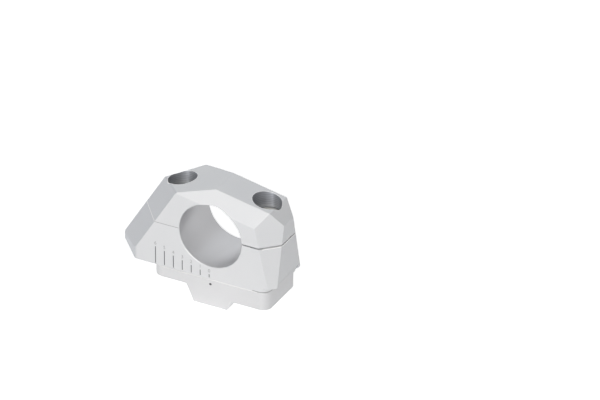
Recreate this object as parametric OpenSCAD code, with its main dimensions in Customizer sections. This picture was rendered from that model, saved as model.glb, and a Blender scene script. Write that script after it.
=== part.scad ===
// Adjustable bar riser for a motorcycle.
// A two-part bar clamp slides across a keyed foot on a hidden dovetail rail.
// X runs along the slide, Y along the handlebar and Z up, with the origin at the middle of the bar.

/* [Handlebar] */
// Diameter of the handlebar that the clamp holds
bar_d = 28.6; // [22.2:0.1:32]
// Slack of the opened clamp on the bar, over the diameter
bar_slack = 0.1; // [0:0.05:0.4]
// Gap that stays between the clamp halves on the open side
clamp_gap = 0.6; // [0.3:0.1:1.2]
// Chamfer round the mouths of the bar bore
bore_chamfer = 0.3; // [0.1:0.1:0.6]

/* [Clamp block] */
// Width of the block along the bar
block_w = 26; // [25:0.5:30]
// Height of the crest of the roof above the bar's middle
roof_h = 19.6; // [19:0.1:21]
// Slope of both roof faces, in degrees
roof_slope = 10.9; // [9:0.1:12]
// Distance from the bar's middle down to the sliding face
seat_drop = 20.3; // [20:0.1:24]
// Distance from the bar's middle to the flat end
end_x = 29.5; // [28.5:0.1:34]
// Height of the upper edge of the flat end above the bar's middle
end_h = 8.6; // [7:0.1:9.5]
// Slope of the shoulder between the roof and the flat end, in degrees
shoulder_slope = 52.5; // [48:0.5:56]
// Height above the bar's middle at which the sloping faces above the bore start, at the block's middle
bevel_z = 13.3; // [12.5:0.1:14]
// Slope of the sloping faces above the bore, in degrees
bevel_slope = 48.7; // [45:0.1:55]

/* [Bow] */
// Distance from the bar's middle to the bow's ridge, at the height of the bar's middle
bow_x = 36.6; // [35:0.1:38]
// Slope of the bow's ridge, in degrees
bow_slope = 58.2; // [54:0.1:62]
// Angle between each bow face and the block's long axis, seen from above, in degrees
bow_sweep = 50.5; // [47:0.1:54]
// Distance from the bar's middle to the foot of the bow
bow_foot_x = 47.4; // [46:0.1:48]
// Angle between each upright bow rim and the block's long axis, in degrees
rim_sweep = 47; // [45:0.5:52]
// Radius of the upright corners where the bow rim meets the front and the back
rim_corner_r = 3; // [1:0.5:5]
// Radius that the eased edges between the roof and the bow follow
bow_edge_r = 1.2; // [0.8:0.1:2]
// How far the bow's upright tip is cut back
tip_cut = 0.5; // [0.2:0.1:1]

/* [Facets] */
// Distance of the corner facets from the bar's middle, measured on the front at bar height
facet_x = 22.6; // [21.5:0.1:23]
// How far the corner facets run inwards, per unit of length
facet_turn = 1.01; // [0.8:0.01:1.2]
// How far the corner facets run out towards the foot, per unit of height
facet_lean = 0.23; // [0.15:0.01:0.3]
// Height of the rounded rim at the foot of the corner facets
foot_rim_h = 2.3; // [1.5:0.1:3]
// Radius of the rounded corners at the flat end's foot, shared with the foot block
end_corner_r = 6.4; // [4:0.2:7]

/* [Clamp screw holes] */
// Distance between the two clamp screw holes
screw_pitch = 39.2; // [38.6:0.1:40]
// Thread diameter of the clamp screws
screw_d = 6; // [5:1:6]
// Slack of the screw holes through the upper clamp, over the diameter
screw_slack = 0.6; // [0.2:0.1:1]
// Depth of the threaded holes below the split
thread_depth = 13.5; // [11:0.5:14]
// Diameter of the counterbores
counterbore_d = 12.2; // [11:0.1:12.6]
// Height of the counterbore floors above the split
counterbore_z = 9; // [8:0.1:10]

/* [Slide] */
// Travel of the clamp across the foot
travel = 25; // [20:1:26]
// Height of the dovetail rail
rail_h = 4; // [3.95:0.05:4.1]
// Width of the rail at its narrow foot
rail_w = 11; // [9:0.5:11]
// Flank angle of the dovetail, in degrees
rail_angle = 60; // [55:1:65]
// Distance from the bar's middle to the rail's round end at rest
rail_end_x = 15.5; // [14:0.1:16.5]
// Running clearance of the rail in its groove
slide_clear = 0.05; // [0.03:0.01:0.1]
// Thickness of the clamping gib
gib_t = 2.4; // [2:0.1:2.8]
// Length of the gib
gib_len = 44; // [42:1:48]
// Thread diameter of the gib screws
gib_screw_d = 3; // [2.5:0.5:3]
// Length of the gib screws
gib_screw_len = 5; // [4.5:0.5:5]
// Diameter of the gib screws' plain points
gib_point_d = 2; // [1.6:0.1:2]
// Depth of the seats in the gib that the points stand in
gib_seat_depth = 0.3; // [0.2:0.05:0.4]
// Height of the gib screws above the sliding face
gib_screw_up = 2.4; // [2.3:0.05:2.4]
// Distance between the two gib screws
gib_screw_pitch = 24; // [20:1:24]
// Clearance of the gib screws in their holes, over the radius
screw_clear = 0.05; // [0.02:0.01:0.1]

/* [Foot] */
// Distance from the bar's middle to the foot block's short end
foot_left_x = 26; // [24:0.1:27]
// Distance from the bar's middle to the foot block's long end
foot_right_x = 27; // [26:0.1:28]
// Thickness of the foot block on the side of the bow
foot_left_h = 5.1; // [4:0.1:6]
// Thickness of the foot block on the side of the flat end
foot_right_h = 8; // [6:0.1:9]
// Radius of the foot block's rounded corners on the side of the bow
foot_corner_r = 4.5; // [2:0.5:5]
// Chamfer along the upper long edges of the foot block
foot_chamfer = 0.4; // [0.2:0.1:0.8]
// Height of the keel's sole below the sliding face
keel_drop = 12.8; // [11:0.1:14]
// Width of the keel's sole
keel_w = 15.1; // [14:0.1:17]
// Shift of the keel's middle towards the flat end
keel_shift = 0.1; // [0:0.1:1]
// Slope of the keel's flanks, in degrees
keel_slope = 66; // [58:1:72]
// Thread diameter of the fixing hole in the keel
fixing_d = 10; // [8:1:10]
// Depth of the fixing hole
fixing_depth = 11.5; // [9:0.5:12]

/* [Scale] */
// Number of steps on the travel scale
scale_steps = 6; // [4:1:8]
// Width of the engraved lines
line_w = 0.35; // [0.2:0.05:0.5]
// Depth of the engraved lines
line_depth = 0.2; // [0.1:0.05:0.3]
// Length of the line at the rest mark
line_first = 1.5; // [1:0.1:2]
// Extra length of each further line
line_growth = 1.05; // [0.5:0.05:1.2]
// Height of the lines' lower ends above the sliding face
line_up = 0.7; // [0.4:0.1:1.2]
// Diameter of the engraved pointer on the foot block
pointer_d = 1.1; // [0.8:0.1:1.6]
// Distance of the pointer below the sliding face
pointer_drop = 2; // [1.5:0.1:2.5]

/* [Hidden] */
$fn = 64;
half_w = block_w / 2;
bow_run = 1 / tan(bow_slope);                 // how far the bow's ridge runs out, per unit of height
bow_top_x = (bow_x - roof_h * bow_run) / (1 - tan(roof_slope) * bow_run);  // where the ridge meets the roof
bore_r = (bar_d + bar_slack) / 2;
seat_z = -seat_drop;
reach = 90;                                   // size of the cutting blocks
eps = 0.01;
screw_x = screw_pitch / 2;
tap_share = 0.425;                            // wall radius of a tapped hole, as a share of its thread diameter
flank = rail_h / tan(rail_angle);             // how far each flank leans out
flank_clear = slide_clear / sin(rail_angle);  // the same clearance, measured level
groove_top = seat_z + rail_h + slide_clear;
gib_level_t = gib_t / sin(rail_angle);        // the gib's thickness, measured level
rail_y = -(gib_level_t + flank_clear) / 2;    // the rail is set off by half of the gib
gib_foot_y = rail_y + rail_w / 2 + flank_clear;
gib_left_x = end_x - gib_len;
gib_screw_x = [for (side = [-1, 1]) end_x - gib_len / 2 + side * gib_screw_pitch / 2];
gib_point_y = gib_foot_y + gib_level_t + (gib_screw_up - gib_point_d / 2) / tan(rail_angle) - gib_seat_depth;
gib_point_len = gib_seat_depth + (gib_point_d + gib_screw_d) / 2 / tan(rail_angle) + screw_clear;
gib_end_play = 0.4;                           // how far the gib stays inside the flat end
keel_z = seat_z - keel_drop;

// Unit vector along v
function unit(v) = v / norm(v);

// Everything on the side of point p that the direction n points to
module beyond(p, n) {
    translate(p)
        rotate([0, acos(n[2] / norm(n)), atan2(n[1], n[0])])
            translate([-reach, -reach, 0])
                cube([2 * reach, 2 * reach, reach]);
}

// The sliver between an upright corner at p and its rounding of radius r,
// where u and v are the directions of the two walls that leave the corner
module corner_sliver(p, u, v, r, z0, z1) {
    half = acos(unit(u) * unit(v)) / 2;
    mid = unit(unit(u) + unit(v));
    centre = p + mid * r / sin(half);
    a = p + unit(u) * r / tan(half);
    b = p + unit(v) * r / tan(half);
    translate([0, 0, z0])
        linear_extrude(z1 - z0)
            difference() {
                polygon([centre, a, a + (a - centre) / r, p - mid, b + (b - centre) / r, b]);
                translate(centre) circle(r);
            }
}

// Two narrow facets in place of the edge that two faces share, laid round a rounding of radius r,
// where p is a point on the edge and n and m point out of the two faces
module eased_edge(p, n, m, r) {
    a = unit(n);
    b = unit(m);
    middle = p - (a + b) * r / (1 + a * b);
    for (share = [1 / 3, 2 / 3]) {
        out = unit(a * (1 - share) + b * share);
        beyond(middle + out * r, out);
    }
}

// Outline of the closed clamp seen along the bar, with its roof, shoulder, flat end and bow
module side_outline() {
    foot_z = -(bow_foot_x - bow_x) / bow_run;
    shoulder_x = (roof_h - end_h - end_x * tan(shoulder_slope)) / (tan(roof_slope) - tan(shoulder_slope));
    polygon([
        [0, roof_h],
        [shoulder_x, roof_h - shoulder_x * tan(roof_slope)],
        [end_x, end_h],
        [end_x, seat_z],
        [-bow_foot_x, seat_z],
        [-bow_foot_x, foot_z],
        [-bow_top_x, roof_h - bow_top_x * tan(roof_slope)]
    ]);
}

// Facets and rounded corners of one side, made for the front and mirrored for the back
module side_cuts() {
    ridge = [cos(bow_slope), 0, sin(bow_slope)];
    bow_level = [-cos(bow_sweep), sin(bow_sweep), 0];
    bow_out = cross(ridge, bow_level);
    beyond([-bow_x, 0, 0], bow_out);
    eased_edge([-bow_top_x, 0, roof_h - bow_top_x * tan(roof_slope)],
        [-sin(roof_slope), 0, cos(roof_slope)], bow_out, bow_edge_r);
    rim_level = [cos(rim_sweep), -sin(rim_sweep), 0];
    beyond([-bow_foot_x, 0, 0], cross(rim_level, [0, 0, 1]));
    corner_sliver([-bow_foot_x + half_w / tan(rim_sweep), -half_w], [1, 0], [-cos(rim_sweep), sin(rim_sweep)],
        rim_corner_r, seat_z - 1, 0);
    beyond([facet_x, -half_w, 0], [facet_turn, -1, facet_lean]);
    corner_sliver([end_x, -half_w], [-1, 0], [0, 1], end_corner_r, seat_z - 1, seat_z + foot_rim_h);
    front_bevel();
}

// The sloping face above the bore
module front_bevel() {
    beyond([0, -half_w, bevel_z], [tan(roof_slope), -tan(bevel_slope), 1]);
}

// Outside of the closed clamp, before it is bored and split
module clamp_form() {
    difference() {
        translate([0, half_w, 0])
            rotate([90, 0, 0])
                linear_extrude(block_w)
                    side_outline();
        side_cuts();
        mirror([0, 1, 0]) side_cuts();
        beyond([tip_cut - bow_foot_x, 0, 0], [-1, 0, 0]);
    }
}

// The bar bore with its chamfered mouths
module bar_bore() {
    rotate([90, 0, 0]) {
        cylinder(h = block_w + 2, r = bore_r, center = true);
        for (side = [0, 1])
            mirror([0, 0, side])
                translate([0, 0, half_w - bore_chamfer])
                    cylinder(h = bore_chamfer + eps, r1 = bore_r, r2 = bore_r + bore_chamfer + eps);
    }
}

module upper_clamp() {
    color([0.80, 0.81, 0.83])
    difference() {
        clamp_form();
        translate([-reach, -reach, -2 * reach]) cube([2 * reach, 2 * reach, 2 * reach]);
        translate([0, -reach, -1]) cube([reach, 2 * reach, clamp_gap + 1]);
        bar_bore();
        for (x = [-screw_x, screw_x])
            translate([x, 0, 0]) {
                translate([0, 0, -1]) cylinder(h = roof_h, r = (screw_d + screw_slack) / 2);
                translate([0, 0, counterbore_z]) cylinder(h = roof_h, r = counterbore_d / 2);
            }
    }
}

// Section of the rail, or of its groove when grow is the clearance
module rail_section(grow = 0) {
    g = grow / sin(rail_angle);
    top = rail_h + grow;
    lean = top / tan(rail_angle);
    polygon([
        [-rail_w / 2 - g, 0],
        [rail_w / 2 + g, 0],
        [rail_w / 2 + g + lean, top],
        [-rail_w / 2 - g - lean, top]
    ]);
}

// The rail from its round end at x0 to x1, as a dovetail cutter leaves it
module rail_form(x0, x1, grow = 0) {
    g = grow / sin(rail_angle);
    top = rail_h + grow;
    r = rail_w / 2 + g;
    round_x = x0 + rail_w / 2 + flank;
    translate([round_x, rail_y, seat_z])
        rotate([90, 0, 90])
            linear_extrude(x1 - round_x)
                rail_section(grow);
    translate([round_x, rail_y, seat_z])
        cylinder(h = top, r1 = r, r2 = r + top / tan(rail_angle));
}

// Section of the gib, or of its pocket when grow is the clearance
module gib_section(grow = 0) {
    top = rail_h + grow;
    lean = top / tan(rail_angle);
    polygon([
        [-grow, 0],
        [gib_level_t + grow, 0],
        [gib_level_t + grow + lean, top],
        [lean - grow, top]
    ]);
}

// Places its children at the point of a gib screw, with +Z along the screw to the back of the block
module at_gib_screw(x) {
    translate([x, gib_point_y, seat_z + gib_screw_up])
        rotate([-90, 0, 0])
            children();
}

module clamp_body() {
    color([0.84, 0.85, 0.86])
    difference() {
        clamp_form();
        translate([-reach, -reach, 0]) cube([2 * reach, 2 * reach, 2 * reach]);
        bar_bore();
        for (x = [-screw_x, screw_x])
            translate([x, 0, -thread_depth])
                cylinder(h = reach, r = screw_d * tap_share);
        translate([0, 0, -eps])
            rail_form(-rail_end_x - travel - slide_clear, end_x + 1, slide_clear);
        translate([gib_left_x - slide_clear, gib_foot_y, seat_z - eps])
            rotate([90, 0, 90])
                linear_extrude(gib_len + 1)
                    gib_section(slide_clear);
        for (x = gib_screw_x)
            at_gib_screw(x)
                translate([0, 0, -gib_seat_depth])
                    cylinder(h = reach, r = gib_screw_d / 2 + screw_clear);
        scale_lines();
    }
}

// Engraved lines of the travel scale, one for each step of the travel
module scale_lines() {
    for (i = [0:scale_steps])
        translate([-i * travel / scale_steps - line_w / 2, -half_w - 1, seat_z + line_up])
            cube([line_w, 1 + line_depth, line_first + i * line_growth]);
}

// Outline of the foot block seen along the bar, with the keel under it
module foot_outline() {
    left_z = seat_z - foot_left_h;
    right_z = seat_z - foot_right_h;
    keel_left = keel_shift - keel_w / 2;
    keel_right = keel_shift + keel_w / 2;
    run = 1 / tan(keel_slope);
    polygon([
        [-foot_left_x, seat_z],
        [-foot_left_x, left_z],
        [keel_left - (left_z - keel_z) * run, left_z],
        [keel_left, keel_z],
        [keel_right, keel_z],
        [keel_right + (right_z - keel_z) * run, right_z],
        [foot_right_x, right_z],
        [foot_right_x, seat_z]
    ]);
}

module base() {
    color([0.83, 0.84, 0.85])
    difference() {
        union() {
            difference() {
                translate([0, half_w, 0])
                    rotate([90, 0, 0])
                        linear_extrude(block_w)
                            foot_outline();
                foot_side_cuts();
                mirror([0, 1, 0]) foot_side_cuts();
            }
            translate([0, 0, -slide_clear])
                rail_form(-rail_end_x, end_x, 0);
        }
        translate([keel_shift, 0, keel_z - 1])
            cylinder(h = fixing_depth + 1, r = fixing_d * tap_share);
        pointer();
    }
}

// Rounded corners and upper chamfer of the foot block's front, mirrored for its back
module foot_side_cuts() {
    corner_sliver([foot_right_x, -half_w], [-1, 0], [0, 1], end_corner_r, keel_z - 1, seat_z + 1);
    corner_sliver([-foot_left_x, -half_w], [1, 0], [0, 1], foot_corner_r, keel_z - 1, seat_z + 1);
    beyond([0, -half_w, seat_z - foot_chamfer], [0, -1, 1]);
}

// Engraved pointer on the front of the foot block, under the rest mark
module pointer() {
    translate([0, line_depth - half_w, seat_z - pointer_drop])
        rotate([90, 0, 0])
            cylinder(h = 1 + line_depth, r = pointer_d / 2);
}

module gib() {
    color([0.45, 0.46, 0.48])
    difference() {
        translate([gib_left_x, gib_foot_y, seat_z])
            rotate([90, 0, 90])
                linear_extrude(gib_len - gib_end_play)
                    gib_section();
        for (x = gib_screw_x)
            at_gib_screw(x) cylinder(h = reach, r = gib_point_d / 2 + screw_clear);
    }
}

// A grub screw with a plain point and a hexagon socket
module gib_screw(x) {
    at_gib_screw(x)
        difference() {
            union() {
                cylinder(h = gib_point_len + eps, r = gib_point_d / 2);
                translate([0, 0, gib_point_len])
                    cylinder(h = gib_screw_len - gib_point_len, r = gib_screw_d / 2);
            }
            translate([0, 0, gib_screw_len - gib_screw_d / 2])
                cylinder(h = gib_screw_d, r = gib_screw_d / 4 / cos(30), $fn = 6);
        }
}

module gib_screw_left() { color([0.3, 0.3, 0.32]) gib_screw(gib_screw_x[0]); }
module gib_screw_right() { color([0.3, 0.3, 0.32]) gib_screw(gib_screw_x[1]); }

upper_clamp();
clamp_body();
base();
gib();
gib_screw_left();
gib_screw_right();
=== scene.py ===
import math

import bmesh
import bpy
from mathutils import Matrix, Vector


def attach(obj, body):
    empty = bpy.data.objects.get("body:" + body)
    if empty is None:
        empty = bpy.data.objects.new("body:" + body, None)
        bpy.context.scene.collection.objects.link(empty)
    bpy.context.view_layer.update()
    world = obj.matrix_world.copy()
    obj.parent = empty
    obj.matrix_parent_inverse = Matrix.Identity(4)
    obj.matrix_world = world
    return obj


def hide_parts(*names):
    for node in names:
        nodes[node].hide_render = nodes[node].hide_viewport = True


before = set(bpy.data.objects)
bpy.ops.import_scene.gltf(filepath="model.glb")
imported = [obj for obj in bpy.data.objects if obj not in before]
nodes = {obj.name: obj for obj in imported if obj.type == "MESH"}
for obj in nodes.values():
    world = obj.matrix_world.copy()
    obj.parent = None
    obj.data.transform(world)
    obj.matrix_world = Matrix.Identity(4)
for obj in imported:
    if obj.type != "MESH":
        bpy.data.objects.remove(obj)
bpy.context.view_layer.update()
print("loaded", len(nodes), "solids")

# The view of the photograph, from the front right and a little above, through a long lens
view = {
    "azimuth": 27.8,
    "elevation": 30.8,
    "distance": 3.0,
    "pixelsPerMetre": 2450.0,
    "width": 600,
    "height": 400,
    "boreMiddle": (210.0, 236.7),  # pixel that shows the middle of the bore on the front face
    "frontY": -0.013,
    "sensorWidth": 36,
    "clip": (0.1, 20),
}


def addObject(name, data):
    holder = bpy.data.objects.new(name, data)
    bpy.context.scene.collection.objects.link(holder)
    return holder


def makeCamera(values):
    az = math.radians(values["azimuth"])
    el = math.radians(values["elevation"])
    back = Vector((math.sin(az) * math.cos(el), -math.cos(az) * math.cos(el), math.sin(el)))
    right = Vector((math.cos(az), math.sin(az), 0))
    up = back.cross(right)
    across = (values["width"] / 2 - values["boreMiddle"][0]) / values["pixelsPerMetre"]
    rise = (values["boreMiddle"][1] - values["height"] / 2) / values["pixelsPerMetre"]
    target = Vector((0, values["frontY"], 0)) + right * across + up * rise
    camera = bpy.data.cameras.new("camera")
    camera.sensor_fit = "HORIZONTAL"
    camera.sensor_width = values["sensorWidth"]
    camera.lens = values["sensorWidth"] * values["distance"] / (values["width"] / values["pixelsPerMetre"])
    camera.clip_start, camera.clip_end = values["clip"]
    holder = addObject("camera", camera)
    holder.location = target + back * values["distance"]
    holder.rotation_euler = back.to_track_quat("Z", "Y").to_euler()
    bpy.context.scene.camera = holder


makeCamera(view)
print("camera placed")


def newMaterial(name):
    material = bpy.data.materials.new(name)
    material.use_nodes = True
    material.node_tree.nodes.clear()
    return material


def addNode(tree, kind, **settings):
    node = tree.nodes.new(kind)
    for key, value in settings.items():
        if key == "inputs":
            for socket, v in value.items():
                node.inputs[socket].default_value = v
        else:
            setattr(node, key, value)
    return node


def addOutput(tree, shader, kind="ShaderNodeOutputMaterial"):
    tree.links.new(shader, addNode(tree, kind).inputs["Surface"])


def addMath(tree, operation, a, b=None, c=None, clamp=False):
    node = addNode(tree, "ShaderNodeMath", operation=operation, use_clamp=clamp)
    for i, value in enumerate((a, b, c)):
        if value is None:
            continue
        if isinstance(value, (int, float)):
            node.inputs[i].default_value = value
        else:
            tree.links.new(value, node.inputs[i])
    return node.outputs[0]


def under(tree, value, limit):
    return addMath(tree, "LESS_THAN", value, limit)


def over(tree, value, limit):
    return addMath(tree, "GREATER_THAN", value, limit)


def invert(tree, mask):
    return addMath(tree, "SUBTRACT", 1.0, mask)


# One where every mask is one
def allOf(tree, mask, *others):
    for other in others:
        mask = addMath(tree, "MULTIPLY", mask, other)
    return mask


def addLength(tree, a, b):
    squares = [addMath(tree, "MULTIPLY", value, value) for value in (a, b)]
    return addMath(tree, "SQRT", addMath(tree, "ADD", *squares))


def addWave(tree, along, step):
    return addMath(tree, "SINE", addMath(tree, "MULTIPLY", along, 2 * math.pi / step))


# Place on the piece, along its three axes
def addPlace(tree):
    place = addNode(tree, "ShaderNodeTexCoord")
    split = addNode(tree, "ShaderNodeSeparateXYZ")
    tree.links.new(place.outputs["Object"], split.inputs["Vector"])
    return split.outputs["X"], split.outputs["Y"], split.outputs["Z"]


# A fixed colour or another socket's colour, laid over what is there where the mask is one
def layOver(tree, color, mask, layer):
    mix = addNode(tree, "ShaderNodeMix", data_type="RGBA")
    tree.links.new(mask, mix.inputs["Factor"])
    tree.links.new(color, mix.inputs["A"])
    if isinstance(layer, tuple):
        mix.inputs["B"].default_value = layer
    else:
        tree.links.new(layer, mix.inputs["B"])
    return mix.outputs["Result"]


def newGroup(name, inputs, outputs):
    group = bpy.data.node_groups.new(name, "ShaderNodeTree")
    for direction, sockets in (("INPUT", inputs), ("OUTPUT", outputs)):
        for label, kind in sockets:
            group.interface.new_socket(name=label, in_out=direction, socket_type="NodeSocket" + kind)
    return group, group.nodes.new("NodeGroupInput"), group.nodes.new("NodeGroupOutput")


grainLook = {
    "detail": 3.0,
    "roughness": 0.6,
    "depth": 0.00004,
    "bevelSamples": 6,
}


# Blasted and anodised aluminium: a fine even grain and softened edges
def makeBlastedGroup(values):
    group, given, made = newGroup(
        "blastedSurface",
        [("Grain", "Float"), ("Grain Size", "Float"), ("Edge Radius", "Float")],
        [("Normal", "Vector")],
    )
    place = addNode(group, "ShaderNodeTexCoord")
    scaling = addMath(group, "DIVIDE", 1.0, given.outputs["Grain Size"])
    noise = addNode(group, "ShaderNodeTexNoise", noise_dimensions="3D",
                    inputs={"Detail": values["detail"], "Roughness": values["roughness"]})
    group.links.new(place.outputs["Object"], noise.inputs["Vector"])
    group.links.new(scaling, noise.inputs["Scale"])
    soft = addNode(group, "ShaderNodeBevel", samples=values["bevelSamples"])
    group.links.new(given.outputs["Edge Radius"], soft.inputs["Radius"])
    bump = addNode(group, "ShaderNodeBump", inputs={"Distance": values["depth"]})
    group.links.new(given.outputs["Grain"], bump.inputs["Strength"])
    group.links.new(noise.outputs["Fac"], bump.inputs["Height"])
    group.links.new(soft.outputs["Normal"], bump.inputs["Normal"])
    group.links.new(bump.outputs["Normal"], made.inputs["Normal"])
    return group


toneLook = {
    "broad": {"Scale": 55.0, "Detail": 3.0, "Roughness": 0.55},
    "fine": {"Scale": 2400.0, "Detail": 2.0, "Roughness": 0.6},
    "fineShare": 0.4,
    "middle": 0.45,
    "roughnessShare": 0.08,
}


# Slow, faint changes of tone that anodising leaves
def makeToneGroup(values):
    group, given, made = newGroup(
        "anodisedTone",
        [("Color", "Color"), ("Tint", "Color"), ("Amount", "Float")],
        [("Color", "Color"), ("Roughness Shift", "Float")],
    )
    place = addNode(group, "ShaderNodeTexCoord")
    broad = addNode(group, "ShaderNodeTexNoise", inputs=values["broad"])
    fine = addNode(group, "ShaderNodeTexNoise", inputs=values["fine"])
    for noise in (broad, fine):
        group.links.new(place.outputs["Object"], noise.inputs["Vector"])
    both = addMath(group, "MULTIPLY_ADD", fine.outputs["Fac"], values["fineShare"], broad.outputs["Fac"])
    centred = addMath(group, "SUBTRACT", both, values["middle"])
    share = addMath(group, "MULTIPLY", centred, given.outputs["Amount"], clamp=True)
    color = layOver(group, given.outputs["Color"], share, given.outputs["Tint"])
    group.links.new(color, made.inputs["Color"])
    shift = addMath(group, "MULTIPLY", centred, values["roughnessShare"])
    group.links.new(shift, made.inputs["Roughness Shift"])
    return group


blastedGroup = makeBlastedGroup(grainLook)
toneGroup = makeToneGroup(toneLook)
print("shared surface groups made")


# Tone and grain that all the metal shares
def addSurface(tree, values):
    tone = addNode(tree, "ShaderNodeGroup", node_tree=toneGroup, inputs={
        "Color": values["color"], "Tint": values["tint"], "Amount": values["toneAmount"],
    })
    blasted = addNode(tree, "ShaderNodeGroup", node_tree=blastedGroup, inputs={
        "Grain": values["grain"], "Grain Size": values["grainSize"], "Edge Radius": values["edgeRadius"],
    })
    rough = addMath(tree, "ADD", tone.outputs["Roughness Shift"], values["roughness"])
    return tone.outputs["Color"], rough, blasted.outputs["Normal"]


# Walls and floor of what is engraved in the front face
def addEngraved(tree, y, values):
    front = values["frontY"]
    return allOf(tree, over(tree, y, front + values["engravedFrom"]), under(tree, y, front + values["engravedTo"]))


def addMetal(tree, color, metallic, rough, normal):
    shader = addNode(tree, "ShaderNodeBsdfPrincipled")
    if isinstance(metallic, float):
        shader.inputs["Metallic"].default_value = metallic
    else:
        tree.links.new(metallic, shader.inputs["Metallic"])
    tree.links.new(color, shader.inputs["Base Color"])
    tree.links.new(rough, shader.inputs["Roughness"])
    tree.links.new(normal, shader.inputs["Normal"])
    addOutput(tree, shader.outputs["BSDF"])


clampMetal = {
    "color": (0.80, 0.805, 0.815, 1),
    "tint": (0.66, 0.68, 0.72, 1),
    "toneAmount": 0.35,
    "grain": 0.25,
    "grainSize": 0.0003,
    "edgeRadius": 0.00022,
    "roughness": 0.46,
    "metallic": 0.36,
    # Colour of the painted highlights on the seam, the gap at the flat end and the counterbore rims
    "paintedHighlightColor": (0.98, 0.98, 0.98, 1),
    "frontY": -0.013,
    "frontSlack": 0.00005,
    # Bore
    "boreRadius": 0.01435,
    "boreSlack": 0.00006,
    "boreColor": (0.68, 0.68, 0.695, 1),
    "boreRoughnessShift": -0.1,
    "boreWaveStep": 0.0003,
    "boreWaveShare": 0.3,
    # Painted shade on the bow; along the parting line painted shade on the front and a painted highlight on the bow;
    # the gap at the flat end painted light; painted shadow on the corner under the overhang
    "bowShadeColor": (0.70, 0.715, 0.745, 1),
    "bowFacing": -0.35,
    "paintedShadeColor": (0.42, 0.42, 0.43, 1),
    "seamHalf": 0.00012,
    "seamHighlightHalf": 0.00012 * 1.3,
    "gapEndX": 0.0236,
    "gapHalf": 0.00045,
    "cornerShadowZ": -0.01995,
    "cornerShadowX": 0.0195,
    # Counterbores: painted shade and one painted highlight across the wall, laid out as the camera's view shows them
    # from left to right, with painted shade at the foot of the wall and a painted highlight ring on the rim
    "holeX": 0.0196,
    "pocketRadius": 0.0061,
    "pocketSlack": 0.00004,
    "pocketLowZ": -0.0148,
    "pocketShadeAndHighlight": [(0.0, 0.36), (0.42, 0.52), (0.58, 0.74), (0.67, 0.98), (0.76, 0.70), (1.0, 0.54)],
    "pocketTint": (0.97, 1.0, 1.07),
    "pocketAcross": (0.885, 0.466),
    "pocketMetallic": 0.6,
    "pocketRoughness": 0.42,
    "pocketFootShade": (0.26, 0.27, 0.29, 1),
    "pocketFootHeight": 0.0005,
    "pocketFloor": 0.009,
    "floorSlack": 0.00006,
    "floorInset": 0.0001,
    "floorColor": (0.84, 0.815, 0.745, 1),
    "ringStep": 0.00085,
    "ringDepth": 0.12,
    "rimWidth": 0.0003,
    "rimLowZ": 0.0135,
    "pocketWaveStep": 0.00055,
    "waveStrength": 0.6,
    "waveDepth": 0.00003,
    # Engraved lines, kept clear of the bore's edge
    "lineColor": (0.16, 0.16, 0.17, 1),
    "engravedFrom": 0.00003,
    "engravedTo": 0.00025,
    "lineTopZ": -0.0115,
    "lineRightX": 0.0004,
    "lineLeftX": -0.0262,
    "boreEdge": 0.0004,
}


# Turned wall of a counterbore: painted shade towards the left, one painted highlight as a bright upright streak, fine
# rings
def addPocketWall(tree, x, y, z, values):
    toAxis = addMath(tree, "SUBTRACT", x, addMath(tree, "MULTIPLY", addMath(tree, "SIGN", x), values["holeX"]))
    shareX, shareY = values["pocketAcross"]
    across = addMath(tree, "ADD", addMath(tree, "MULTIPLY", toAxis, shareX), addMath(tree, "MULTIPLY", y, shareY))
    share = addMath(tree, "MULTIPLY_ADD", across, 0.5 / values["pocketRadius"], 0.5)
    tones = addNode(tree, "ShaderNodeValToRGB")
    stops = tones.color_ramp.elements
    while len(stops) < len(values["pocketShadeAndHighlight"]):
        stops.new(0.5)
    red, green, blue = values["pocketTint"]
    for stop, (position, level) in zip(stops, values["pocketShadeAndHighlight"]):
        stop.position = position
        stop.color = (level * red, level * green, level * blue, 1)
    tree.links.new(share, tones.inputs["Fac"])
    rings = addWave(tree, z, values["ringStep"])
    ring = addMath(tree, "MULTIPLY_ADD", rings, values["ringDepth"], 1 - values["ringDepth"])
    wall = addNode(tree, "ShaderNodeVectorMath", operation="SCALE")
    tree.links.new(tones.outputs["Color"], wall.inputs["Vector"])
    tree.links.new(ring, wall.inputs["Scale"])
    return wall.outputs["Vector"]


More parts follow.
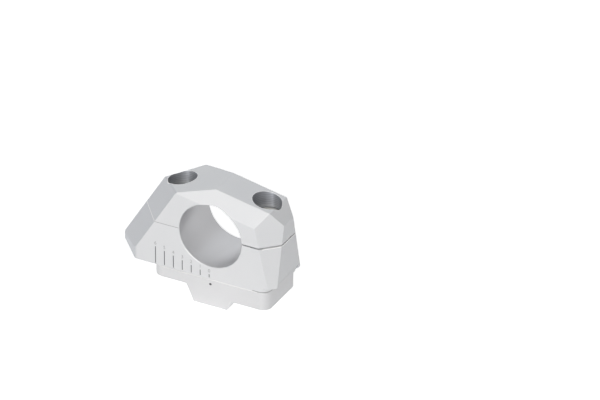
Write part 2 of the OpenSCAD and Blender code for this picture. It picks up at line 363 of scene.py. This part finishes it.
# Machined aluminium with the bore, the counterbores and the engraved lines told apart by their place
def makeClampMaterial(name, values):
    material = newMaterial(name)
    tree = material.node_tree
    x, y, z = addPlace(tree)
    color, rough, normal = addSurface(tree, values)

    fromBar = addLength(tree, x, z)
    inBore = under(tree, fromBar, values["boreRadius"] + values["boreSlack"])
    clearOfBore = invert(tree, inBore)

    fromHole = addLength(tree, addMath(tree, "SUBTRACT", addMath(tree, "ABSOLUTE", x), values["holeX"]), y)
    nearHole = under(tree, fromHole, values["pocketRadius"] + values["pocketSlack"])
    inPocket = allOf(tree, nearHole, clearOfBore, over(tree, z, values["pocketLowZ"]))
    insideWall = under(tree, fromHole, values["pocketRadius"] - values["floorInset"])
    onFloor = allOf(tree, insideWall, addMath(tree, "COMPARE", z, values["pocketFloor"], values["floorSlack"]))
    # Painted shade at the foot of the counterbore wall, and a painted highlight ring on its rim
    nearFloor = addMath(tree, "COMPARE", z, values["pocketFloor"], values["pocketFootHeight"])
    nearRim = under(tree, fromHole, values["pocketRadius"] + values["rimWidth"])
    rimHighlight = allOf(tree, addMath(tree, "SUBTRACT", nearRim, nearHole), over(tree, z, values["rimLowZ"]))

    # Painted shade along the parting line on the front, a painted highlight along it on the bow, the gap at the flat
    # end painted light, and painted shadow on the corner under the overhang
    seamHeight = addMath(tree, "ABSOLUTE", z)
    onFront = under(tree, y, values["frontY"] + values["frontSlack"])
    leftHalf = allOf(tree, under(tree, x, 0.0), clearOfBore)
    paintedSeamShade = allOf(tree, under(tree, seamHeight, values["seamHalf"]), onFront, leftHalf)
    highlightOnSeam = allOf(tree, under(tree, seamHeight, values["seamHighlightHalf"]), invert(tree, onFront), leftHalf)
    paintedGapEndLight = allOf(tree, under(tree, seamHeight, values["gapHalf"]), over(tree, x, values["gapEndX"]))
    shadowUnderCorner = allOf(tree, under(tree, z, values["cornerShadowZ"]), over(tree, x, values["cornerShadowX"]))

    # Painted shade on the bow's facets that turn to the left
    facing = addNode(tree, "ShaderNodeNewGeometry")
    turnedTo = addNode(tree, "ShaderNodeSeparateXYZ")
    tree.links.new(facing.outputs["True Normal"], turnedTo.inputs["Vector"])
    turnedLeft = under(tree, turnedTo.outputs["X"], values["bowFacing"])
    bowShade = allOf(tree, turnedLeft, clearOfBore, invert(tree, highlightOnSeam))

    inLine = allOf(
        tree, addEngraved(tree, y, values),
        under(tree, x, values["lineRightX"]), over(tree, x, values["lineLeftX"]),
        under(tree, z, values["lineTopZ"]), over(tree, fromBar, values["boreRadius"] + values["boreEdge"]),
    )

    # From the bottom layer to the top one; the seam, bow, gap end, corner, pocket wall and rim layers are painted
    # shade and painted highlights
    for mask, layer in (
        (paintedSeamShade, values["paintedShadeColor"]),
        (highlightOnSeam, values["paintedHighlightColor"]),
        (inBore, values["boreColor"]),
        (bowShade, values["bowShadeColor"]),
        (paintedGapEndLight, values["paintedHighlightColor"]),
        (shadowUnderCorner, values["paintedShadeColor"]),
        (inPocket, addPocketWall(tree, x, y, z, values)),
        (allOf(tree, inPocket, nearFloor), values["pocketFootShade"]),
        (rimHighlight, values["paintedHighlightColor"]),
        (onFloor, values["floorColor"]),
        (inLine, values["lineColor"]),
    ):
        color = layOver(tree, color, mask, layer)

    pocketWave = addMath(tree, "MULTIPLY", addWave(tree, z, values["pocketWaveStep"]), inPocket)
    boreWave = addMath(tree, "MULTIPLY", addWave(tree, y, values["boreWaveStep"]), inBore)
    boreWave = addMath(tree, "MULTIPLY", boreWave, values["boreWaveShare"])
    turned = addNode(tree, "ShaderNodeBump",
                     inputs={"Strength": values["waveStrength"], "Distance": values["waveDepth"]})
    tree.links.new(addMath(tree, "ADD", pocketWave, boreWave), turned.inputs["Height"])
    tree.links.new(normal, turned.inputs["Normal"])

    moreMetal = values["pocketMetallic"] - values["metallic"]
    metallic = addMath(tree, "MULTIPLY_ADD", inPocket, moreMetal, values["metallic"])
    rough = addMath(tree, "MULTIPLY_ADD", inBore, values["boreRoughnessShift"], rough)
    rough = addMath(tree, "MULTIPLY_ADD", inPocket, values["pocketRoughness"] - values["roughness"], rough)
    addMetal(tree, color, metallic, rough, turned.outputs["Normal"])
    return material


clampMaterial = makeClampMaterial("anodisedClamp", clampMetal)

footMetal = {
    "color": (0.79, 0.79, 0.798, 1),
    "tint": (0.66, 0.67, 0.70, 1),
    "toneAmount": 0.35,
    "grain": 0.25,
    "grainSize": 0.0003,
    "edgeRadius": 0.00022,
    "roughness": 0.48,
    "metallic": 0.36,
    "frontY": -0.013,
    "engravedFrom": 0.00003,
    "engravedTo": 0.00025,
    "pointerColor": (0.10, 0.10, 0.11, 1),
    "pointerHalf": 0.0008,
    "pointerTopZ": -0.0212,
    # Colour of the painted highlight on the chamfer
    "paintedHighlightColor": (0.98, 0.98, 0.98, 1),
    "seatZ": -0.0203,
    "chamfer": 0.0004,
    "chamferEndX": 0.0215,
}


# The same metal with the pointer and a painted highlight on the chamfer on top of the foot
def makeFootMaterial(name, values):
    material = newMaterial(name)
    tree = material.node_tree
    x, y, z = addPlace(tree)
    color, rough, normal = addSurface(tree, values)
    inPointer = allOf(
        tree, addEngraved(tree, y, values),
        under(tree, addMath(tree, "ABSOLUTE", x), values["pointerHalf"]), under(tree, z, values["pointerTopZ"]),
    )
    color = layOver(tree, color, inPointer, values["pointerColor"])
    # Painted highlight on the chamfer along the top of the foot
    half = values["chamfer"] / 2
    chamferHeight = addMath(tree, "COMPARE", z, values["seatZ"] - half, half)
    chamferHighlight = allOf(tree, chamferHeight, under(tree, x, values["chamferEndX"]))
    color = layOver(tree, color, chamferHighlight, values["paintedHighlightColor"])
    addMetal(tree, color, values["metallic"], rough, normal)
    return material


footMaterial = makeFootMaterial("anodisedFoot", footMetal)

gibSteel = {
    "color": (0.52, 0.53, 0.55, 1),
    "tint": (0.52 * 0.7, 0.53 * 0.7, 0.55 * 0.72, 1),
    "toneAmount": 0.6,
    "grain": 0.15,
    "grainSize": 0.0002,
    "edgeRadius": 0.0002,
    "roughness": 0.35,
    "metallic": 1.0,
}

screwSteel = {
    "color": (0.12, 0.12, 0.13, 1),
    "tint": (0.12 * 0.7, 0.12 * 0.7, 0.13 * 0.72, 1),
    "toneAmount": 0.6,
    "grain": 0.15,
    "grainSize": 0.0002,
    "edgeRadius": 0.0002,
    "roughness": 0.4,
    "metallic": 1.0,
}


# Ground or oiled steel of the hidden parts
def makeSteelMaterial(name, values):
    material = newMaterial(name)
    tree = material.node_tree
    color, rough, normal = addSurface(tree, values)
    addMetal(tree, color, values["metallic"], rough, normal)
    return material


gibMaterial = makeSteelMaterial("groundSteel", gibSteel)
screwMaterial = makeSteelMaterial("oiledSteel", screwSteel)
print("metals made")


def dress(node, material):
    slots = node.data.materials
    if len(slots) == 0:
        slots.append(material)
    for i in range(len(slots)):
        slots[i] = material


# A closed form through rings of points, capped at both ends
def loft(name, rings):
    mesh = bpy.data.meshes.new(name)
    count = len(rings[0])
    points = [point for ring in rings for point in ring]
    faces = [tuple(range(count)), tuple(reversed(range(len(points) - count, len(points))))]
    for row in range(len(rings) - 1):
        for i in range(count):
            a, b = row * count + i, row * count + (i + 1) % count
            faces.append((b, a, a + count, b + count))
    mesh.from_pydata(points, [], faces)
    shell = bmesh.new()
    shell.from_mesh(mesh)
    bmesh.ops.recalc_face_normals(shell, faces=shell.faces)
    shell.to_mesh(mesh)
    shell.free()
    return addObject(name, mesh)


def makeBar(name, start, end, radius, sides=48):
    axis = (Vector(end) - Vector(start)).normalized()
    side = axis.orthogonal().normalized()
    other = axis.cross(side)
    turns = [2 * math.pi * i / sides for i in range(sides)]
    return loft(name, [
        [Vector(at) + side * radius * math.cos(t) + other * radius * math.sin(t) for t in turns]
        for at in (start, end)
    ])


def makeBlock(name, low, high):
    corners = [(low[0], low[1]), (high[0], low[1]), (high[0], high[1]), (low[0], high[1])]
    return loft(name, [[(x, y, z) for x, y in corners] for z in (low[2], high[2])])


# The tool is used up
def combine(piece, tool, operation):
    step = piece.modifiers.new("combine", "BOOLEAN")
    step.object = tool
    step.operation = operation
    step.solver = "EXACT"
    bpy.context.view_layer.update()
    made = bpy.data.meshes.new_from_object(piece.evaluated_get(bpy.context.evaluated_depsgraph_get()))
    piece.modifiers.remove(step)
    piece.data = made
    bpy.data.objects.remove(tool)


def copyNode(name, node):
    return addObject(name, node.data.copy())


rounds = {"least": 0.3, "most": 24.0, "largestFace": 4.5e-5, "flatWithin": 0.1}  # degrees, but for the face in m2


# Smooth shading on the narrow faces of a rounding or a bore, and none on the flat faces beside it
def softenRounds(piece):
    shell = bmesh.new()
    shell.from_mesh(piece.data)
    flat = math.radians(rounds["flatWithin"])
    bmesh.ops.dissolve_limit(shell, angle_limit=flat, verts=shell.verts, edges=shell.edges)
    bends = {}
    shell.edges.index_update()
    for edge in shell.edges:
        bend = math.degrees(edge.calc_face_angle(0.0)) if len(edge.link_faces) == 2 else 90.0
        bends[edge.index] = rounds["least"] < bend < rounds["most"]
        edge.smooth = bend < rounds["most"]
    for face in shell.faces:
        face.smooth = face.calc_area() < rounds["largestFace"] and any(bends[edge.index] for edge in face.edges)
    shell.to_mesh(piece.data)
    shell.free()
    return piece


# Foot block, rim and pointer as the photograph shows them
footForm = {
    "seatZ": -0.0203,
    "rimTopZ": -0.018,
    "leftX": -0.0271,
    "rightX": 0.0264,
    "frontY": -0.013,
    "leftRadius": 0.0045,
    "rightRadius": 0.0041,
    "cornerSteps": 16,
    "chamfer": 0.0004,
    "leftZ": -0.0254,
    "rightZ": -0.02865,
    "soleZ": -0.0331,
    "keelLeftX": -0.0079,
    "keelRightX": 0.00765,
    "keelRun": 0.445,
    "holeX": 0.0001,
    "holeRadius": 0.00425,
    "holeSides": 96,
    "holeTopZ": -0.0216,
    "pointerZ": -0.0227,
    "pointerRadius": 0.00055,
    "engraving": 0.0002,
    # How far the cutting tools reach past the metal
    "overlap": 0.001,
    "holeLowZ": -0.04,
    "sideReach": (0.03, 0.02),
    "endReach": (0.05, 0.03, -0.05),
}


def footPlan(values, inset=0.0):
    half = -values["frontY"]
    corners = [
        (values["rightX"], -half, values["rightRadius"], -90),
        (values["rightX"], half, values["rightRadius"], 0),
        (values["leftX"], half, values["leftRadius"], 90),
        (values["leftX"], -half, values["leftRadius"], 180),
    ]
    steps = values["cornerSteps"]
    points = []
    for x, y, radius, start in corners:
        centreX = x - math.copysign(radius, x)
        centreY = y - math.copysign(radius, y)
        for step in range(steps + 1):
            turn = math.radians(start + 90 * step / steps)
            points.append((centreX + (radius - inset) * math.cos(turn), centreY + (radius - inset) * math.sin(turn)))
    return points


# What the rim and the foot leave free under the flat end
def makeEndTool(values):
    x, radius, half = values["rightX"], values["rightRadius"], -values["frontY"]
    farX, farY, farZ = values["endReach"]
    steps = values["cornerSteps"]
    inner = []
    for side, first in ((1, 90), (-1, 0)):
        for step in range(steps + 1):
            turn = math.radians(first - 90 * step / steps)
            inner.append((x - radius + radius * math.cos(turn), side * (half - radius) + radius * math.sin(turn)))
    outline = [(x - radius, -farY), (farX, -farY), (farX, farY), (x - radius, farY)] + inner
    return loft("endTool", [[(a, b, z) for a, b in outline] for z in (farZ, values["rimTopZ"])])


def makeFoot(values):
    plan, inner = footPlan(values), footPlan(values, values["chamfer"])
    seat, sole, spare = values["seatZ"], values["soleZ"], values["overlap"]
    foot = loft("footBlock", [
        [(x, y, sole - spare) for x, y in plan],
        [(x, y, seat - values["chamfer"]) for x, y in plan],
        [(x, y, seat) for x, y in inner],
    ])
    leftX, leftZ, rightX, rightZ = values["keelLeftX"], values["leftZ"], values["keelRightX"], values["rightZ"]
    farX, farY = values["sideReach"]
    outline = [
        (-farX, seat + spare),
        (-farX, leftZ),
        (leftX - (leftZ - sole) * values["keelRun"], leftZ),
        (leftX, sole),
        (rightX, sole),
        (rightX + (rightZ - sole) * values["keelRun"], rightZ),
        (farX, rightZ),
        (farX, seat + spare),
    ]
    combine(foot, loft("footSide", [[(x, y, z) for x, z in outline] for y in (-farY, farY)]), "INTERSECT")
    piece = copyNode("base_form", nodes["base"])
    combine(piece, foot, "UNION")
    combine(piece, makeEndTool(values), "DIFFERENCE")
    x, low, top = values["holeX"], values["holeLowZ"], values["holeTopZ"]
    combine(piece, makeBar("hole", (x, 0, low), (x, 0, top), values["holeRadius"], values["holeSides"]), "DIFFERENCE")
    front, z = values["frontY"], values["pointerZ"]
    dot = makeBar("dot", (0, front - spare, z), (0, front + values["engraving"], z), values["pointerRadius"])
    combine(piece, dot, "DIFFERENCE")
    return softenRounds(piece)


# Engraved lines of the travel scale, each longer than the one to its right
scale = {
    "count": 7,
    "step": 0.025 / 6,
    "rightX": -0.00055,
    "cadRightX": 0.0,
    "width": 0.00035,
    "bottomZ": -0.0196,
    "first": 0.0015,
    "growth": 0.00105,
    "fillDepth": 0.0005,
    "fillMargin": 0.0001,
}


def makeLine(x, index, values, front, depth, grow=0.0):
    half = values["width"] / 2 + grow
    top = values["bottomZ"] + values["first"] + index * values["growth"]
    return makeBlock("line", (x - half, front, values["bottomZ"] - grow), (x + half, depth, top + grow))


# The lines of the solid are filled, and new ones are cut beside them
def makeBody(values, lines):
    piece = copyNode("clamp_body_form", nodes["clamp_body"])
    front = values["frontY"]
    for i in range(lines["count"]):
        x = lines["cadRightX"] - i * lines["step"]
        old = makeLine(x, i, lines, front, front + lines["fillDepth"], lines["fillMargin"])
        combine(piece, old, "UNION")
    for i in range(lines["count"]):
        x = lines["rightX"] - i * lines["step"]
        new = makeLine(x, i, lines, front - values["overlap"], front + values["engraving"])
        combine(piece, new, "DIFFERENCE")
    combine(piece, makeEndTool(values), "DIFFERENCE")
    return softenRounds(piece)


def makeGib(values):
    piece = copyNode("gib_form", nodes["gib"])
    combine(piece, makeEndTool(values), "DIFFERENCE")
    return softenRounds(piece)


baseForm = makeFoot(footForm)
bodyForm = makeBody(footForm, scale)
gibForm = makeGib(footForm)
for form, node, body, finish in (
    (baseForm, "base", "foot", "base_metal"),
    (bodyForm, "clamp_body", "clamp", "body_metal"),
    (gibForm, "gib", "clamp", "gib_metal"),
):
    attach(form, body)
    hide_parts(node)
print("foot, body and gib formed")

for material, pieces in (
    (clampMaterial, (nodes["upper_clamp"], nodes["clamp_body"], bodyForm)),
    (footMaterial, (nodes["base"], baseForm)),
    (gibMaterial, (nodes["gib"], gibForm)),
    (screwMaterial, (nodes["gib_screw_left"], nodes["gib_screw_right"])),
):
    for piece in pieces:
        dress(piece, material)
print("metal finished")

# Small numbers over the lines of the travel scale
numbers = {
    "height": 0.0016,
    "sizeForHeight": 1.4,
    "proud": 0.000002,
    "frontY": -0.013,
    "firstTop": -0.0181,
    "growth": 0.00105,
    "above": 0.0009,
    "inkDark": (0.42, 0.42, 0.43, 1),
    "inkLight": (0.52, 0.52, 0.53, 1),
    "inkGrain": {"Scale": 3000.0, "Detail": 2.0},
    "inkRoughness": 0.6,
}


def makeInk(values):
    material = newMaterial("scaleInk")
    tree = material.node_tree
    place = addNode(tree, "ShaderNodeTexCoord")
    noise = addNode(tree, "ShaderNodeTexNoise", inputs=values["inkGrain"])
    tree.links.new(place.outputs["Object"], noise.inputs["Vector"])
    mix = addNode(tree, "ShaderNodeMix", data_type="RGBA", inputs={"A": values["inkDark"], "B": values["inkLight"]})
    tree.links.new(noise.outputs["Fac"], mix.inputs["Factor"])
    shader = addNode(tree, "ShaderNodeBsdfPrincipled", inputs={"Roughness": values["inkRoughness"]})
    tree.links.new(mix.outputs["Result"], shader.inputs["Base Color"])
    addOutput(tree, shader.outputs["BSDF"])
    return material


def makeNumber(index, values, lines, ink):
    name = "scale_number_%d" % index
    letters = bpy.data.curves.new(name, "FONT")
    letters.body = str(index)
    letters.size = values["height"] * values["sizeForHeight"]
    letters.align_x = "CENTER"
    letters.extrude = 0
    holder = addObject(name, letters)
    bpy.context.view_layer.update()
    flat = bpy.data.meshes.new_from_object(holder.evaluated_get(bpy.context.evaluated_depsgraph_get()))
    bpy.data.objects.remove(holder)
    piece = addObject(name, flat)
    left = lines["rightX"] - index * lines["step"]
    low = values["firstTop"] + index * values["growth"] + values["above"]
    for vertex in flat.vertices:
        vertex.co = (vertex.co.x + left, values["frontY"] - values["proud"], low + vertex.co.y)
    flat.materials.clear()
    flat.materials.append(ink)
    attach(piece, "clamp")


ink = makeInk(numbers)
for i in range(scale["count"]):
    makeNumber(i, numbers, scale, ink)
print("scale numbers placed")


# Camera, mirror and glass rays, which see a white background that gives no light
def addDirectRays(tree):
    rays = addNode(tree, "ShaderNodeLightPath")
    bent = addMath(tree, "MAXIMUM", rays.outputs["Is Glossy Ray"], rays.outputs["Is Transmission Ray"])
    return addMath(tree, "MAXIMUM", rays.outputs["Is Camera Ray"], bent)


# Floor and light
studio = {
    "floorZ": -0.0332,
    "floorSize": 6.0,
    "floorColor": (0.86, 0.86, 0.86, 1),
    "floorLift": 0.88,
    "white": (1, 1, 1, 1),
    "worldColor": (0.93, 0.96, 1.0, 1),
    "worldLight": 0.03,
    "lamps": [
        {"name": "key", "at": (0.45, -1.3, 0.75), "size": 1.1, "power": 11.8, "color": (1.0, 0.99, 0.98)},
        {"name": "lowFront", "at": (0.0, -1.5, 0.25), "size": 0.9, "power": 5.2, "color": (1.0, 0.995, 0.985)},
        {"name": "back", "at": (0.1, 1.0, 1.3), "size": 1.2, "power": 1.9, "color": (0.88, 0.94, 1.0)},
        {"name": "backLeft", "at": (-0.9, 0.9, 0.9), "size": 1.0, "power": 1.6, "color": (0.88, 0.94, 1.0)},
    ],
}


def makeFloor(values):
    half = values["floorSize"] / 2
    mesh = bpy.data.meshes.new("floor")
    corners = [(-half, -half), (half, -half), (half, half), (-half, half)]
    mesh.from_pydata([(a, b, values["floorZ"]) for a, b in corners], [], [(0, 1, 2, 3)])
    floor = addObject("floor", mesh)
    material = newMaterial("paleFloor")
    tree = material.node_tree
    diffuse = addNode(tree, "ShaderNodeBsdfDiffuse", inputs={"Color": values["floorColor"]})
    glow = addNode(tree, "ShaderNodeEmission", inputs={"Color": values["white"]})
    tree.links.new(addMath(tree, "MULTIPLY", addDirectRays(tree), values["floorLift"]), glow.inputs["Strength"])
    both = addNode(tree, "ShaderNodeAddShader")
    tree.links.new(diffuse.outputs["BSDF"], both.inputs[0])
    tree.links.new(glow.outputs["Emission"], both.inputs[1])
    addOutput(tree, both.outputs["Shader"])
    mesh.materials.append(material)


def makeWorld(values):
    world = bpy.data.worlds.new("studio")
    world.use_nodes = True
    tree = world.node_tree
    tree.nodes.clear()
    light = addNode(tree, "ShaderNodeBackground",
                    inputs={"Color": values["worldColor"], "Strength": values["worldLight"]})
    white = addNode(tree, "ShaderNodeBackground", inputs={"Color": values["white"], "Strength": 1.0})
    mix = addNode(tree, "ShaderNodeMixShader")
    tree.links.new(addDirectRays(tree), mix.inputs["Fac"])
    tree.links.new(light.outputs["Background"], mix.inputs[1])
    tree.links.new(white.outputs["Background"], mix.inputs[2])
    addOutput(tree, mix.outputs["Shader"], "ShaderNodeOutputWorld")
    bpy.context.scene.world = world


def makeLamp(values):
    lamp = bpy.data.lights.new(values["name"], "AREA")
    lamp.shape = "SQUARE"
    lamp.size = values["size"]
    lamp.energy = values["power"]
    lamp.color = values["color"]
    holder = addObject(values["name"], lamp)
    holder.location = values["at"]
    holder.rotation_euler = Vector(values["at"]).to_track_quat("Z", "Y").to_euler()


makeFloor(studio)
makeWorld(studio)
for lamp in studio["lamps"]:
    makeLamp(lamp)
bpy.context.scene.view_settings.view_transform = "Standard"
print("studio lit")
